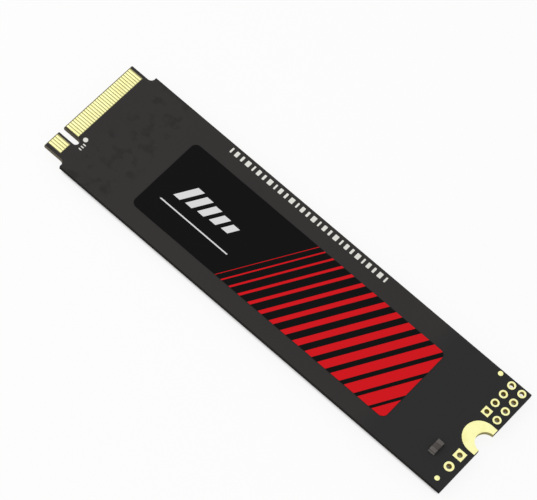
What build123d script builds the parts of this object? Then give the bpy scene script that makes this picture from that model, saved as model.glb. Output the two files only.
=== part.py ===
from build123d import *

import os

# M.2 solid state drive card, 22 mm wide and 80 mm long, key M, with its packages on one side.
# It lies as it rests on a table: label side up, on the faces of its flash packages.
# X runs from the edge contacts to the screw notch and Z is up.
# The origin is on the table, under the middle of the card. Sizes are in millimetres.

# Circuit board
board_length = 80.0
board_thickness = 0.8
tongue_length = 4.1
tongue_margin = 0.5
tongue_chamfer = 0.2
tongue_bevel = 0.15
shoulder_step = 1.075
shoulder_radius = 0.75
corner_radius = 0.4
copper_thickness = 0.04
copper_setback = 0.05

# Edge contacts: odd positions on the chip side, even ones on the label side, none at the key
contact_positions = 75
key_first = 59
key_last = 66
contact_pitch = 0.5
contact_width = 0.35
contact_length = 2.45
key_depth = 3.5
key_clearance = 0.35

# Screw notch and its ground pads
screw_notch_radius = 1.75
screw_pad_radius = 2.8
screw_pad_inset = 1.15

# Plated holes at the screw end
plating = 0.05
header_pitch = 2.0
header_columns = 2
header_hole = 0.8
header_pad = 1.38
header_end_margin = 1.17
header_side_margin = 0.95
header_pad_gap = 0.54
jumper_pitch = 2.54
jumper_hole = 0.88
jumper_pad = 1.62
jumper_end_margin = 1.58
jumper_pad_gap = 0.725

# Bare alignment dots on the label side
dot_diameter = 0.82
rear_dot_end_margin = 5.63
rear_dot_side_margin = 0.63
corner_dot_end_margin = 1.67
corner_dot_side_margin = 1.42

# Label film
label_start = 15.9
label_end_margin = 13.55
label_width = 14.85
label_shift = -0.52
label_corner = 1.0
label_thickness = 0.1

# Two-ended chips: length and width over the terminals, height, and each terminal's length
land_overhang = 0.15
end_chip_length = 2.3
end_chip_width = 1.15
end_chip_height = 0.5
end_chip_terminal = 0.75
end_chip_end_margin = 4.93
end_chip_offset = 5.83
capacitor_length = 1.0
capacitor_width = 0.5
capacitor_height = 0.5
capacitor_terminal = 0.25
bulk_length = 2.0
bulk_width = 1.25
bulk_height = 0.85
bulk_terminal = 0.45
resistor_length = 1.0
resistor_width = 0.5
resistor_height = 0.35
resistor_terminal = 0.25

# Flash packages
flash_length = 12.0
flash_width = 18.0
flash_body = 0.85
flash_standoff = 0.25
flash_gap = 0.5
flash_ball = 0.45
flash_ball_pitch = 1.0
flash_ball_margin = 0.9
flash_ball_end_margin = 3.4

# Controller package
controller_side = 12.0
controller_body = 0.7
controller_standoff = 0.2
controller_ball = 0.33
controller_ball_pitch = 0.65
controller_ball_margin = 0.4

# Edge of the outer face of each moulded package
package_chamfer = 0.06

# Power chip
power_side = 4.0
power_body = 0.75
lead_pitch = 0.5
lead_width = 0.25
lead_length = 0.4
lead_corner_margin = 0.65
lead_thickness = 0.1
thermal_pad = 2.4

# Power inductors
inductor_length = 2.5
inductor_width = 2.0
inductor_body = 0.9
inductor_chamfer = 0.15
inductor_foot = 0.6
inductor_wrap = 0.45
terminal_sheet = 0.1

# Clock crystal
crystal_length = 3.2
crystal_width = 2.5
crystal_base_height = 0.4
crystal_lid_height = 0.25
crystal_lid_margin = 0.2
crystal_lid_chamfer = 0.25
crystal_land = 0.9

# Spacing on the chip side
edge_keepout = 1.3
end_keepout = 1.0
part_gap = 0.8
controller_gap = 1.6
flash_lead_gap = 1.5
capacitor_pitch = 1.7
side_capacitor_pitch = 4.8

# Worked out: the contact row sets the tongue and key, and the tongue sets the board's width
half_pitch = contact_pitch / 2
contact_span = (contact_positions - 1) * half_pitch
tongue_width = contact_span + contact_width + 2 * tongue_margin
board_width = tongue_width + 2 * shoulder_step
edge_x = -board_length / 2
end_x = board_length / 2
side_y = board_width / 2
shoulder_fillet = min(shoulder_radius, 0.7 * shoulder_step)
corner_fillet = min(corner_radius, shoulder_step - shoulder_fillet)
contact_start = tongue_bevel + copper_setback


def contact_y(position):
    """Place of a numbered contact across the tongue."""
    return contact_span / 2 - (position - 1) * half_pitch


key_y = (contact_y(key_first) + contact_y(key_last)) / 2
key_width = contact_y(key_first - 1) - contact_y(key_last + 1) - contact_width - 2 * key_clearance

# Worked out: heights, with the tallest package on the chip side standing on the table
chip_side_depth = max(
    flash_standoff + flash_body,
    controller_standoff + controller_body,
    lead_thickness + power_body,
    terminal_sheet + inductor_body,
    copper_thickness + crystal_base_height + crystal_lid_height,
    max(capacitor_height, bulk_height, resistor_height),
)
board_bottom = chip_side_depth
board_top = board_bottom + board_thickness

# Worked out: places along the chip side, from the contacts to the screw notch
power_x = edge_x + tongue_length + edge_keepout + power_side / 2
controller_x = power_x + power_side / 2 + controller_gap + controller_side / 2
flash_start = controller_x + controller_side / 2 + flash_lead_gap
flash_step = flash_length + flash_gap
flash_end = end_x - screw_pad_inset - screw_pad_radius - end_keepout
flash_count = int((flash_end - flash_start + flash_gap) / flash_step)
flash_centres = [flash_start + flash_length / 2 + i * flash_step for i in range(flash_count)]
pieces = {}


def fitted(room, pitch):
    """How many places at this pitch fit in the room between the first and the last."""
    return int(room / pitch) + 1


def hole_places():
    """Centres of the service header's holes and of the jumper's, each with its square pad's first."""
    first_y = screw_pad_radius + header_pad_gap + header_pad / 2
    rows = fitted(side_y - header_side_margin - first_y, header_pitch)
    first_x = end_x - header_end_margin - (header_columns - 1) * header_pitch
    header = [
        (first_x + column * header_pitch, first_y + row * header_pitch)
        for column in range(header_columns)
        for row in range(rows)
    ]
    jumper_y = screw_pad_radius + jumper_pad_gap + jumper_pad / 2
    jumper_x = end_x - jumper_end_margin
    return header, [(jumper_x, -jumper_y), (jumper_x, -jumper_y - jumper_pitch)]


header_places, jumper_places = hole_places()


# Circuit board: outline with tongue, key notch, screw notch and drilled holes, then the lead-in bevel
with BuildPart() as circuit_board:
    with BuildSketch(Plane.XY.offset(board_bottom)):
        with Locations((edge_x + tongue_length, 0)):
            Rectangle(board_length - tongue_length, board_width, align=(Align.MIN, Align.CENTER))
        with Locations((edge_x, 0)):
            Rectangle(tongue_length, tongue_width, align=(Align.MIN, Align.CENTER))
        corners_by_x = vertices().group_by(Axis.X)
        shoulders = corners_by_x[1].sort_by(Axis.Y)
        fillet(shoulders[1:-1], shoulder_fillet)
        fillet([shoulders[0], shoulders[-1]] + list(corners_by_x[-1]), corner_fillet)
        chamfer(corners_by_x[0], tongue_chamfer)
        with Locations((edge_x, key_y)):
            Rectangle(
                key_depth - key_width / 2, key_width, align=(Align.MIN, Align.CENTER), mode=Mode.SUBTRACT
            )
        with Locations((edge_x + key_depth - key_width / 2, key_y)):
            Circle(key_width / 2, mode=Mode.SUBTRACT)
        with Locations((end_x, 0)):
            Circle(screw_notch_radius, mode=Mode.SUBTRACT)
        with Locations(*header_places):
            Circle(header_hole / 2 + plating, mode=Mode.SUBTRACT)
        with Locations(*jumper_places):
            Circle(jumper_hole / 2 + plating, mode=Mode.SUBTRACT)
    extrude(amount=board_thickness)
    chamfer(edges().filter_by(Axis.Y).group_by(Axis.X)[0], tongue_bevel)
pieces["circuit_board"] = circuit_board


def edge_contacts(first_position, face_z, height):
    """One side's gold contacts, leaving out the key's positions."""
    places = [
        (edge_x + contact_start, contact_y(position))
        for position in range(first_position, contact_positions + 1, 2)
        if not key_first <= position <= key_last
    ]
    with BuildPart() as contacts:
        with BuildSketch(Plane.XY.offset(face_z)):
            with Locations(*places):
                Rectangle(contact_length, contact_width, align=(Align.MIN, Align.CENTER))
        extrude(amount=height)
    return contacts


pieces["label_side_contacts"] = edge_contacts(2, board_top, copper_thickness)
pieces["chip_side_contacts"] = edge_contacts(1, board_bottom, -copper_thickness)


def screw_pad(face_z, height):
    """Ground pad with a round inner end, cut by the screw notch."""
    with BuildPart() as pad:
        with BuildSketch(Plane.XY.offset(face_z)):
            with Locations((end_x - screw_pad_inset, 0)):
                Circle(screw_pad_radius)
                Rectangle(
                    screw_pad_inset - copper_setback, 2 * screw_pad_radius, align=(Align.MIN, Align.CENTER)
                )
            with Locations((end_x - copper_setback, 0)):
                Rectangle(
                    screw_pad_radius,
                    2 * screw_pad_radius,
                    align=(Align.MIN, Align.CENTER),
                    mode=Mode.SUBTRACT,
                )
            with Locations((end_x, 0)):
                Circle(screw_notch_radius, mode=Mode.SUBTRACT)
        extrude(amount=height)
    return pad


pieces["label_side_screw_pad"] = screw_pad(board_top, copper_thickness)
pieces["chip_side_screw_pad"] = screw_pad(board_bottom, -copper_thickness)


def eyelets(places, hole, pad):
    """Plated holes with a pad on each face: the first pad is square, the others round."""
    with BuildPart() as group:
        for face_z, height in ((board_top, copper_thickness), (board_bottom, -copper_thickness)):
            with BuildSketch(Plane.XY.offset(face_z)):
                with Locations(places[0]):
                    Rectangle(pad, pad)
                with Locations(*places[1:]):
                    Circle(pad / 2)
            extrude(amount=height)
        with BuildSketch(Plane.XY.offset(board_bottom)):
            with Locations(*places):
                Circle(hole / 2 + plating)
        extrude(amount=board_thickness)
        with Locations(*[(x, y, board_top) for x, y in places]):
            Hole(hole / 2)
    return group


pieces["service_header_eyelets"] = eyelets(header_places, header_hole, header_pad)
pieces["jumper_eyelets"] = eyelets(jumper_places, jumper_hole, jumper_pad)

# Alignment dots
with BuildPart() as alignment_dots:
    with BuildSketch(Plane.XY.offset(board_top)):
        with Locations(
            (end_x - rear_dot_end_margin, side_y - rear_dot_side_margin),
            (end_x - corner_dot_end_margin, corner_dot_side_margin - side_y),
        ):
            Circle(dot_diameter / 2)
    extrude(amount=copper_thickness)
pieces["alignment_dots"] = alignment_dots

# Label film
with BuildPart() as label:
    with BuildSketch(Plane.XY.offset(board_top)):
        with Locations((edge_x + label_start, label_shift)):
            RectangleRounded(
                board_length - label_start - label_end_margin,
                label_width,
                label_corner,
                align=(Align.MIN, Align.CENTER),
            )
    extrude(amount=label_thickness)
pieces["label"] = label


def chips(name, places, length, width, height, terminal, seat_z, way):
    """Two-ended chips of one size: bodies between end terminals.

    places are locations on the board, turned so that X runs along the chip.
    way is 1 on the label side and -1 on the chip side.
    """
    with BuildPart() as bodies:
        with BuildSketch(Plane.XY.offset(seat_z)):
            with Locations(*places):
                Rectangle(length - 2 * terminal, width)
        extrude(amount=way * height)
    with BuildPart() as terminals:
        with BuildSketch(Plane.XY.offset(seat_z)):
            with Locations(*[place * end for place in places for end in chip_ends(length - terminal)]):
                Rectangle(terminal, width)
        extrude(amount=way * height)
    pieces[f"{name}_bodies"] = bodies
    pieces[f"{name}_terminals"] = terminals


def chip_ends(spacing):
    """Places of a chip's two ends, this far apart along its length."""
    return [Location((sign * spacing / 2, 0, 0)) for sign in (-1, 1)]


def lying(x, y):
    """A chip with its length along the board."""
    return Location((x, y, 0))


def standing(x, y):
    """A chip with its length across the board."""
    return Location((x, y, 0), (0, 0, 90))


# The one chip on the label side, on two lands
end_chip_place = standing(end_x - end_chip_end_margin, -end_chip_offset)
with BuildPart() as end_chip_lands:
    with BuildSketch(Plane.XY.offset(board_top)):
        with Locations(*[end_chip_place * end for end in chip_ends(end_chip_length - end_chip_terminal)]):
            Rectangle(end_chip_terminal + 2 * land_overhang, end_chip_width)
    extrude(amount=copper_thickness)
pieces["end_chip_lands"] = end_chip_lands
chips(
    "end_chip",
    [end_chip_place],
    end_chip_length,
    end_chip_width,
    end_chip_height,
    end_chip_terminal,
    board_top + copper_thickness,
    1,
)


def moulded_package(centre_x, length, width, standoff, body):
    """Moulded package hung under the board, with a fine chamfer round its outer face."""
    with BuildPart() as package:
        with BuildSketch(Plane.XY.offset(board_bottom - standoff)):
            with Locations((centre_x, 0)):
                Rectangle(length, width)
        extrude(amount=-body)
        chamfer(faces().sort_by(Axis.Z)[0].edges(), package_chamfer)
    return package


def ball_rows(centre_x, columns, rows, pitch, ball, standoff):
    """The two rows of a ball grid that face the board's long sides: those between them can't be seen."""
    with BuildPart() as balls:
        with BuildSketch(Plane.XY.offset(board_bottom)):
            with Locations((centre_x, 0)):
                with GridLocations(pitch, (rows - 1) * pitch, columns, 2):
                    RegularPolygon(ball / 2, 6)
        extrude(amount=-standoff)
    return balls


# Controller
controller_balls = fitted(controller_side - 2 * controller_ball_margin, controller_ball_pitch)
pieces["controller"] = moulded_package(
    controller_x, controller_side, controller_side, controller_standoff, controller_body
)
pieces["controller_balls"] = ball_rows(
    controller_x,
    controller_balls,
    controller_balls,
    controller_ball_pitch,
    controller_ball,
    controller_standoff,
)

# Flash packages
flash_columns = fitted(flash_length - 2 * flash_ball_margin, flash_ball_pitch)
flash_rows = fitted(flash_width - 2 * flash_ball_end_margin, flash_ball_pitch)
for number, flash_x in enumerate(flash_centres, start=1):
    pieces[f"flash_{number}"] = moulded_package(
        flash_x, flash_length, flash_width, flash_standoff, flash_body
    )
    pieces[f"flash_{number}_balls"] = ball_rows(
        flash_x, flash_columns, flash_rows, flash_ball_pitch, flash_ball, flash_standoff
    )

# Power chip, with its leads and thermal pad under it
pieces["power_manager"] = moulded_package(power_x, power_side, power_side, lead_thickness, power_body)
leads_per_side = fitted(power_side - 2 * lead_corner_margin, lead_pitch)
with BuildPart() as power_manager_leads:
    with BuildSketch(Plane.XY.offset(board_bottom)):
        with Locations((power_x, 0)):
            Rectangle(thermal_pad, thermal_pad)
            with PolarLocations(power_side / 2, 4):
                with GridLocations(lead_length, lead_pitch, 1, leads_per_side):
                    Rectangle(lead_length, lead_width, align=(Align.MAX, Align.CENTER))
    extrude(amount=-lead_thickness)
pieces["power_manager_leads"] = power_manager_leads

# Power inductors beside the power chip, two on one side and one on the other
inductor_step = inductor_width + part_gap
inductor_y = power_side / 2 + part_gap + inductor_width / 2
inductor_rows = [-inductor_y, inductor_y, inductor_y + inductor_step]
for number, row_y in enumerate(inductor_rows, start=1):
    with BuildPart() as inductor:
        with BuildSketch(Plane.XY.offset(board_bottom - terminal_sheet)):
            with Locations((power_x, row_y)):
                Rectangle(inductor_length, inductor_width)
            chamfer(vertices(), inductor_chamfer)
        extrude(amount=-inductor_body)
    pieces[f"inductor_{number}"] = inductor

# Inductor terminals: a foot under the body, bent up its end
with BuildPart() as inductor_terminals:
    for row_y in inductor_rows:
        with BuildSketch(Plane.XZ.offset(-row_y)):
            for sign in (-1, 1):
                outer_x = power_x + sign * (inductor_length / 2 + terminal_sheet)
                inner = Align.MIN if sign < 0 else Align.MAX
                with Locations((outer_x, board_bottom)):
                    Rectangle(inductor_foot, terminal_sheet, align=(inner, Align.MAX))
                    Rectangle(terminal_sheet, terminal_sheet + inductor_wrap, align=(inner, Align.MAX))
        extrude(amount=inductor_width / 2 - inductor_chamfer, both=True)
pieces["inductor_terminals"] = inductor_terminals

# Clock crystal beside the controller: four lands, ceramic base and metal lid
crystal_y = controller_side / 2 + part_gap + crystal_width / 2
crystal_x = controller_x - controller_side / 2 + crystal_length / 2
with BuildPart() as crystal_lands:
    with BuildSketch(Plane.XY.offset(board_bottom)):
        with Locations((crystal_x, crystal_y)):
            with GridLocations(crystal_length - crystal_land, crystal_width - crystal_land, 2, 2):
                Rectangle(crystal_land, crystal_land)
    extrude(amount=-copper_thickness)
pieces["crystal_lands"] = crystal_lands
with BuildPart() as crystal_base:
    with BuildSketch(Plane.XY.offset(board_bottom - copper_thickness)):
        with Locations((crystal_x, crystal_y)):
            Rectangle(crystal_length, crystal_width)
    extrude(amount=-crystal_base_height)
pieces["crystal_base"] = crystal_base
with BuildPart() as crystal_lid:
    with BuildSketch(Plane.XY.offset(board_bottom - copper_thickness - crystal_base_height)):
        with Locations((crystal_x, crystal_y)):
            Rectangle(crystal_length - 2 * crystal_lid_margin, crystal_width - 2 * crystal_lid_margin)
        chamfer(vertices(), crystal_lid_chamfer)
    extrude(amount=-crystal_lid_height)
pieces["crystal_lid"] = crystal_lid

# Supply capacitors at both ends of the power row
bulk_step = bulk_width + part_gap
bulk_low_y = -inductor_y - inductor_width / 2 - part_gap - bulk_width / 2
bulk_high_y = inductor_y + inductor_step + inductor_width / 2 + part_gap + bulk_width / 2
bulk_places = [lying(power_x, y) for y in (bulk_low_y, bulk_low_y - bulk_step, bulk_high_y)]
chips("bulk_capacitor", bulk_places, bulk_length, bulk_width, bulk_height, bulk_terminal, board_bottom, -1)

# Resistors in a row beside the crystal
resistor_x = crystal_x + crystal_length / 2 + part_gap + resistor_width / 2
resistor_step = resistor_width + part_gap
resistor_room = controller_x + controller_side / 2 - resistor_width / 2 - resistor_x
resistor_places = [
    standing(resistor_x + i * resistor_step, crystal_y) for i in range(fitted(resistor_room, resistor_step))
]
chips(
    "resistor",
    resistor_places,
    resistor_length,
    resistor_width,
    resistor_height,
    resistor_terminal,
    board_bottom,
    -1,
)

# Decoupling capacitors: before, behind and beside the controller, and along the flash packages' sides
before_x = power_x + power_side / 2 + controller_gap / 2
behind_x = flash_start - flash_lead_gap / 2
beside_y = -(controller_side / 2 + part_gap + capacitor_length / 2)
column_count = fitted(controller_side - capacitor_length, capacitor_pitch)
row_offsets = [(i - (column_count - 1) / 2) * capacitor_pitch for i in range(column_count)]
side_count = fitted(flash_length - capacitor_length - side_capacitor_pitch, side_capacitor_pitch)
side_offsets = [(i - (side_count - 1) / 2) * side_capacitor_pitch for i in range(side_count)]
strip_y = (side_y + flash_width / 2) / 2
capacitor_places = [standing(x, offset) for x in (before_x, behind_x) for offset in row_offsets]
capacitor_places += [standing(controller_x + offset, beside_y) for offset in row_offsets]
capacitor_places += [
    lying(flash_x + offset, sign * strip_y)
    for flash_x in flash_centres
    for offset in side_offsets
    for sign in (-1, 1)
]
chips(
    "capacitor",
    capacitor_places,
    capacitor_length,
    capacitor_width,
    capacitor_height,
    capacitor_terminal,
    board_bottom,
    -1,
)

os.makedirs("parts", exist_ok=True)
for piece_name, piece in pieces.items():
    piece.part.label = piece_name
    export_step(piece.part, f"parts/{piece_name}.step")
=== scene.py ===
"""Looks of an M.2 drive card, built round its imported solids.

Lengths here are millimetres in the card's own frame, and meshes are written in metres. X runs from
the edge contacts to the screw notch, Y across the board and Z up through the label.
"""
import logging
import math
from abc import ABC, abstractmethod
from collections.abc import Mapping, Sequence
from dataclasses import dataclass, field
from enum import Enum
from itertools import cycle
from typing import Union

import bmesh
import bpy
from bmesh.types import BMesh, BMVert
from bpy.types import Material, Mesh, Node, NodeSocket, NodeTree, Object
from mathutils import Matrix, Vector


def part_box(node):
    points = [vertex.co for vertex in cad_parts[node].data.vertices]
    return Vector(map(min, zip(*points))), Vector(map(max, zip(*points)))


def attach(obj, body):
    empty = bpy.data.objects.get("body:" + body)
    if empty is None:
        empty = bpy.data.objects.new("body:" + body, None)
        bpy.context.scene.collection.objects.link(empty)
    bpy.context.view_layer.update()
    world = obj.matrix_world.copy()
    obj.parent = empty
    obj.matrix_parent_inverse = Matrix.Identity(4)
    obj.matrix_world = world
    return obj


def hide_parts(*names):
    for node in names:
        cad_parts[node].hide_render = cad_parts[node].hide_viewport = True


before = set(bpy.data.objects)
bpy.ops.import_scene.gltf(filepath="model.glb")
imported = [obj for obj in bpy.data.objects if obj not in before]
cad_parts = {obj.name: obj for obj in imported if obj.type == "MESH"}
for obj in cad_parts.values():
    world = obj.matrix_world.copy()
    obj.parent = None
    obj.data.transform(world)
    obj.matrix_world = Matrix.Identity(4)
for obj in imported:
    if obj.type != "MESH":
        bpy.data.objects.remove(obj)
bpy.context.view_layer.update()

MM = 0.001
BODY = "root"
BOARD = "circuit_board"
WELD = 0.0005
FLAT_ANGLE = math.radians(0.5)
SHARP_ANGLE = math.radians(40)
EDGE_SEGMENTS = 2
FINE_DETAIL = 3.0

Colour = tuple[float, float, float, float]
Spot = tuple[float, float]
Span = tuple[float, float]
Triple = tuple[float, float, float]
Term = Union["Shade", float]
log = logging.getLogger("drive_card")


class Slot(Enum):
    """The record's material slots."""

    SOLDER_MASK = "solder_mask"
    CONTACT_GOLD = "contact_gold"
    LABEL_FILM = "label_film"
    PACKAGE_MOULD = "package_mould"
    SOLDER = "solder"
    TERMINAL_TIN = "terminal_tin"
    CAPACITOR_CERAMIC = "capacitor_ceramic"
    RESISTOR_GLAZE = "resistor_glaze"
    END_CHIP_MOULD = "end_chip_mould"
    INDUCTOR_FERRITE = "inductor_ferrite"
    CRYSTAL_CERAMIC = "crystal_ceramic"
    CRYSTAL_LID = "crystal_lid"
    BOARD_INK = "board_ink"


class Side(Enum):
    """The board's two faces, each with the way that it looks along Z."""

    LABEL = 1
    CHIP = -1

    @property
    def word(self) -> str:
        """The face's name in nodes and pieces."""
        return f"{self.name.lower()}_side"


def srgb(red: int, green: int, blue: int) -> Colour:
    """A shader colour from the 0 to 255 levels that it shows on screen, by the sRGB curve."""
    shown = [level / 255 for level in (red, green, blue)]
    return (*[s / 12.92 if s <= 0.04045 else ((s + 0.055) / 1.055) ** 2.4 for s in shown], 1.0)


def corners(node: str) -> tuple[Vector, Vector]:
    """A CAD node's lowest and highest corners."""
    low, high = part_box(node)
    return low / MM, high / MM


class Shade:
    """A node's output with arithmetic: each operator adds a Math node to the same tree."""

    def __init__(self, graph: "Graph", node: Node, output: str | int = 0) -> None:
        """Wraps one output socket of a node in the graph."""
        self.graph, self.node, self.output = graph, node, output

    @property
    def socket(self) -> NodeSocket:
        """The output socket."""
        return self.node.outputs[self.output]

    def beside(self, output: str) -> "Shade":
        """Another output of the same node."""
        return Shade(self.graph, self.node, output)

    def math(self, operation: str, *terms: Term) -> "Shade":
        """The result of a Math node on these terms."""
        return self.graph.node("ShaderNodeMath", {"operation": operation}, dict(enumerate(terms)))

    def __add__(self, other: Term) -> "Shade":
        """Sum."""
        return self.math("ADD", self, other)

    __radd__ = __add__

    def __sub__(self, other: Term) -> "Shade":
        """Difference."""
        return self.math("SUBTRACT", self, other)

    def __rsub__(self, other: Term) -> "Shade":
        """Difference from a number."""
        return self.math("SUBTRACT", other, self)

    def __mul__(self, other: Term) -> "Shade":
        """Product."""
        return self.math("MULTIPLY", self, other)

    __rmul__ = __mul__

    def __truediv__(self, other: Term) -> "Shade":
        """Quotient."""
        return self.math("DIVIDE", self, other)

    def __rtruediv__(self, other: Term) -> "Shade":
        """Quotient of a number."""
        return self.math("DIVIDE", other, self)

    def __pow__(self, exponent: Term) -> "Shade":
        """Power."""
        return self.math("POWER", self, exponent)

    def __lt__(self, other: Term) -> "Shade":
        """1 where this is less, else 0."""
        return self.math("LESS_THAN", self, other)

    def __gt__(self, other: Term) -> "Shade":
        """1 where this is more, else 0."""
        return self.math("GREATER_THAN", self, other)

    def __abs__(self) -> "Shade":
        """Size without its sign."""
        return self.math("ABSOLUTE", self)

    def fraction(self) -> "Shade":
        """What is left over a whole number."""
        return self.math("FRACT", self)

    def whole(self) -> "Shade":
        """The whole number below."""
        return self.math("FLOOR", self)

    def wave(self, pitch: float) -> "Shade":
        """A sine wave from -1 to 1 that repeats at this pitch."""
        return self.math("SINE", self * (2 * math.pi / pitch))

    def either(self, other: Term) -> "Shade":
        """The larger of two masks."""
        return self.math("MAXIMUM", self, other)

    def between(self, low: Term, high: Term) -> "Shade":
        """1 from low to high, else 0."""
        return (self > low) * (self < high)

    def eased(self, low: Term, high: Term) -> "Shade":
        """A smooth step from 0 at low to 1 at high."""
        settings = {"interpolation_type": "SMOOTHSTEP", "clamp": True}
        return self.graph.node("ShaderNodeMapRange", settings, {0: self, 1: low, 2: high})

    def varied(self, middle: float, spread: float) -> "Shade":
        """A value that strays from its middle, over this spread, as this noise does."""
        return middle + spread * (self - 0.5)


def distance(x: Shade, y: Shade, centre: Spot) -> Shade:
    """How far a point lies from a centre, along the board."""
    return ((x - centre[0]) ** 2.0 + (y - centre[1]) ** 2.0) ** 0.5


class Graph:
    """A node tree and the one way of adding nodes to it."""

    def __init__(self, tree: NodeTree) -> None:
        """Starts on an empty or cleared tree."""
        self.tree = tree

    def node(
        self,
        kind: str,
        settings: Mapping[str, object] | None = None,
        inputs: Mapping[str | int, object] | None = None,
        output: str | int = 0,
    ) -> Shade:
        """Adds a node.

        Args:
            kind: The node's type.
            settings: Its properties, which are set first.
            inputs: Values or links for its sockets, by name or number.
            output: The socket to return.

        Returns:
            The chosen output.
        """
        made = self.tree.nodes.new(kind)
        for name, value in (settings or {}).items():
            setattr(made, name, value)
        for key, value in (inputs or {}).items():
            self.feed(made.inputs[key], value)
        return Shade(self, made, output)

    def feed(self, socket: NodeSocket, value: object) -> None:
        """Gives an input socket its value or link.

        Args:
            socket: The input.
            value: A number, a colour or a vector, or the output that feeds it.
        """
        if isinstance(value, Shade):
            self.tree.links.new(value.socket, socket)
        else:
            socket.default_value = value


class Surface(Graph):
    """A material's nodes round one Principled shader."""

    def __init__(self, name: str) -> None:
        """Makes the material and its plain shader.

        Args:
            name: The material's name.
        """
        self.material = bpy.data.materials.new(name)
        self.material.use_nodes = True
        super().__init__(self.material.node_tree)
        self.tree.nodes.clear()
        self.shader = self.node("ShaderNodeBsdfPrincipled")
        self.exit = self.node("ShaderNodeOutputMaterial", {}, {"Surface": self.shader})

    def place(self) -> Shade:
        """The point on the card, in millimetres."""
        point = self.node("ShaderNodeTexCoord", output="Object")
        return self.node("ShaderNodeVectorMath", {"operation": "SCALE"}, {0: point, "Scale": 1 / MM})

    def stretched(self, at: Shade, by: Triple) -> Shade:
        """A point with each axis multiplied."""
        return self.node("ShaderNodeVectorMath", {"operation": "MULTIPLY"}, {0: at, 1: by})

    def axes(self, at: Shade) -> tuple[Shade, Shade, Shade]:
        """A point's X, Y and Z."""
        x = self.node("ShaderNodeSeparateXYZ", inputs={0: at})
        return x, x.beside("Y"), x.beside("Z")

    def noise(self, at: Shade, grain: float, detail: float = 2.0) -> Shade:
        """Noise from 0 to 1 with grains of about this many millimetres."""
        return self.node("ShaderNodeTexNoise", {}, {"Vector": at, "Scale": 1 / grain, "Detail": detail})

    def mix(self, share: Term, first: Shade | Colour, second: Shade | Colour) -> Shade:
        """The first colour, with a share of the second."""
        return self.node("ShaderNodeMix", {"data_type": "RGBA"}, {0: share, 6: first, 7: second}, output=2)

    def relief(self, height: Shade, depth: float) -> Shade:
        """A normal from heights of 0 to 1, which stand for this many millimetres."""
        return self.node("ShaderNodeBump", {}, {"Distance": depth * MM, "Height": height})

    def finish(self, **sockets: object) -> Material:
        """Sets the shader's sockets.

        Args:
            sockets: Values or links by socket name, with _ for each space.

        Returns:
            The finished material.
        """
        for name, value in sockets.items():
            self.feed(self.shader.node.inputs[name.replace("_", " ")], value)
        return self.material


@dataclass(frozen=True)
class Finish(ABC):
    """A surface finish, which gives one material."""

    name: str

    def material(self) -> Material:
        """The material, made at its first use."""
        return bpy.data.materials.get(self.name) or self.make(Surface(self.name))

    @abstractmethod
    def make(self, surface: Surface) -> Material:
        """Builds the material on an empty surface."""


@dataclass(frozen=True)
class SolderMask(Finish):
    """Satin solder mask over glass cloth, left off between the contacts.

    It has faint darker patches, and is darker towards the screw end.
    """

    colour: Colour = srgb(52, 50, 49)
    patch: Colour = srgb(42, 40, 39)
    # A darker tone towards the screw end.
    unfilled: Colour = srgb(44, 44, 44)
    bare: Colour = srgb(172, 165, 118)
    fill_end: float = 24.5
    fill_fade: float = 5.0
    bare_end: float = -37.3
    bare_rows: tuple[Span, Span] = ((-9.3, -7.1), (-5.3, 9.4))
    patch_span: Span = (-36.5, -25.0)
    patch_fade: float = 3.0
    patch_grain: float = 2.0
    patch_edge: Span = (0.46, 0.68)
    patch_share: float = 0.85
    cloud_grain: float = 14.0
    cloud_start: float = 0.4
    cloud_share: float = 0.6
    weave_pitch: float = 0.45
    weave_share: float = 0.15
    grain: float = 0.07
    grain_share: float = 0.7
    relief_depth: float = 0.0012
    roughness: float = 0.46
    spread: float = 0.08
    patch_roughness: float = 0.05
    gloss: float = 0.1

    def make(self, surface: Surface) -> Material:
        """Builds the mask.

        Args:
            surface: An empty surface.

        Returns:
            The material.
        """
        at = surface.place()
        x, y, _ = surface.axes(at)
        start, end = self.patch_span
        near_contacts = x.eased(start, start + self.patch_fade) * (1 - x.eased(end - self.patch_fade, end))
        patches = surface.noise(at, self.patch_grain, FINE_DETAIL).eased(*self.patch_edge) * near_contacts
        cloud = (surface.noise(at, self.cloud_grain) - self.cloud_start) * self.cloud_share
        mottled_mask = surface.mix(patches.either(cloud) * self.patch_share, self.colour, self.patch)
        half_fade = self.fill_fade / 2
        # Darker towards the screw end, by a smooth step along X.
        towards_screw_end = x.eased(self.fill_end - half_fade, self.fill_end + half_fade)
        mask = surface.mix(towards_screw_end, mottled_mask, self.unfilled)
        first, second = (y.between(*row) for row in self.bare_rows)
        weave = x.wave(self.weave_pitch) * y.wave(self.weave_pitch)
        grain = surface.noise(at, self.grain)
        height = grain * self.grain_share + weave * self.weave_share
        return surface.finish(
            Base_Color=surface.mix(first.either(second) * (x < self.bare_end), mask, self.bare),
            Roughness=grain.varied(self.roughness, self.spread) + self.patch_roughness * patches,
            Specular_IOR_Level=self.gloss,
            Normal=surface.relief(height, self.relief_depth),
        )


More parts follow.
